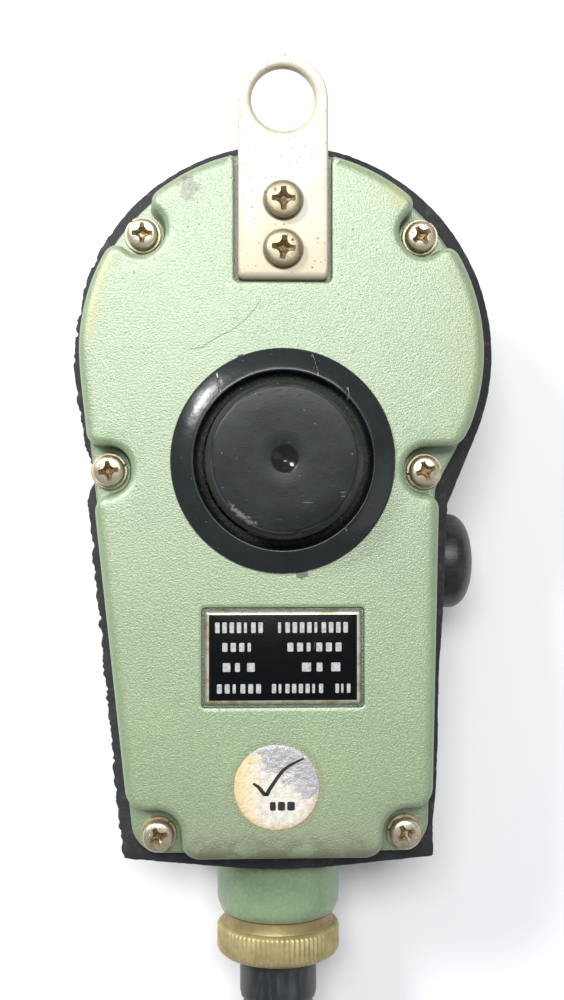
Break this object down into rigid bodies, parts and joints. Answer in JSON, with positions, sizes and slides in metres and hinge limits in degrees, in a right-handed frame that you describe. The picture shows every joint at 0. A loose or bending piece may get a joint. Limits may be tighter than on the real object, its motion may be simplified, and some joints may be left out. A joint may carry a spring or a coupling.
{
  "type": "hand microphone",
  "caption": "Hand microphone in a flat die-cast case with a booted talk button on the back, a side button, a hanger bracket, and a lead in a knurled gland that ends in a jack plug.",
  "frame": {"origin": "centre of the mouthpiece on the front face, the face that it lies on", "axes": "+Z out of the back of the case, +Y towards the hanger bracket, +X to the side button"},
  "size_m": [0.1028, 0.3379, 0.0445],
  "materials": {
    "green_enamel": "pale sage green hammered enamel on die-cast metal",
    "gasket_rubber": "matt black sheet rubber",
    "black_rubber": "black rubber, worn smooth",
    "soft_rubber": "soft black rubber",
    "button_plastic": "black moulded button, fine scratches",
    "ring_plastic": "black moulded ring",
    "bracket_nickel": "dull nickel plate, pitted and tanned",
    "screw_nickel": "nickel plated steel, yellowed",
    "nut_brass": "dull knurled brass",
    "capsule_metal": "spun aluminium",
    "grille_metal": "perforated aluminium disc",
    "spring_steel": "bright spring steel",
    "magnet_steel": "plain magnet steel",
    "coil_copper": "enamelled copper winding",
    "film": "thin amber film",
    "wind_cloth": "fine black cloth",
    "switch_body": "brown phenolic",
    "board": "brown laminate",
    "plunger_metal": "turned aluminium",
    "plate": "black etched plate with a bright border",
    "label_paper": "yellowed paper label",
    "cord_rubber": "black rubber cord",
    "plug_plastic": "black plug sleeve",
    "plug_metal": "nickel plated plug contact"
  },
  "bodies": {
    "root": {"front_shell": "green_enamel", "rear_cover": "green_enamel", "gasket": "gasket_rubber", "mouth_grille": "grille_metal", "wind_screen": "wind_cloth", "capsule_cushion": "soft_rubber", "capsule_case": "capsule_metal", "diaphragm": "film", "voice_coil": "coil_copper", "pole_cap": "magnet_steel", "magnet": "magnet_steel", "magnet_yoke": "magnet_steel", "capsule_clamp": "spring_steel", "capsule_clamp_screw_1": "screw_nickel", "capsule_clamp_screw_2": "screw_nickel", "button_boot": "black_rubber", "button_guide": "spring_steel", "talk_switch": "switch_body", "switch_plate": "spring_steel", "switch_plate_screw_1": "screw_nickel", "switch_plate_screw_2": "screw_nickel", "side_ring": "ring_plastic", "side_switch": "switch_body", "hanger_bracket": "bracket_nickel", "hanger_screw_1": "screw_nickel", "hanger_screw_2": "screw_nickel", "nameplate": "plate", "inspection_label": "label_paper", "gland_seal": "soft_rubber", "gland_washer": "nut_brass", "gland_nut": "nut_brass", "strain_relief": "cord_rubber", "cord_core": "cord_rubber", "cord_clip": "spring_steel", "cord_clip_screw": "screw_nickel", "terminal_board": "board", "capsule_lead": "film", "cord_lead": "cord_rubber", "cord_coil": "cord_rubber", "cord_tail": "cord_rubber", "plug_sleeve": "plug_plastic", "plug_contact": "plug_metal", "talk_spring": "spring_steel", "side_spring": "spring_steel", "cover_screw_1": "screw_nickel", "lock_washer_1": "screw_nickel", "cover_screw_2": "screw_nickel", "lock_washer_2": "screw_nickel", "cover_screw_3": "screw_nickel", "lock_washer_3": "screw_nickel", "cover_screw_4": "screw_nickel", "lock_washer_4": "screw_nickel", "cover_screw_5": "screw_nickel", "lock_washer_5": "screw_nickel", "cover_screw_6": "screw_nickel", "lock_washer_6": "screw_nickel"},
    "talk_button": {"talk_button": "button_plastic", "talk_plunger": "plunger_metal"},
    "side_button": {"side_button": "black_rubber", "side_plunger": "plunger_metal"}
  },
  "joints": [
    {"name": "talk_press", "type": "slide", "parent": "root", "child": "talk_button", "axis": [0, 0, -1], "range_m": [0, 0.003], "stiffness_N_per_m": 1500, "springref_m": -0.002, "deforming": ["talk_spring"]},
    {"name": "side_press", "type": "slide", "parent": "root", "child": "side_button", "axis": [-1, 0, 0], "range_m": [0, 0.0025], "stiffness_N_per_m": 1200, "springref_m": -0.002, "deforming": ["side_spring"]}
  ]
}
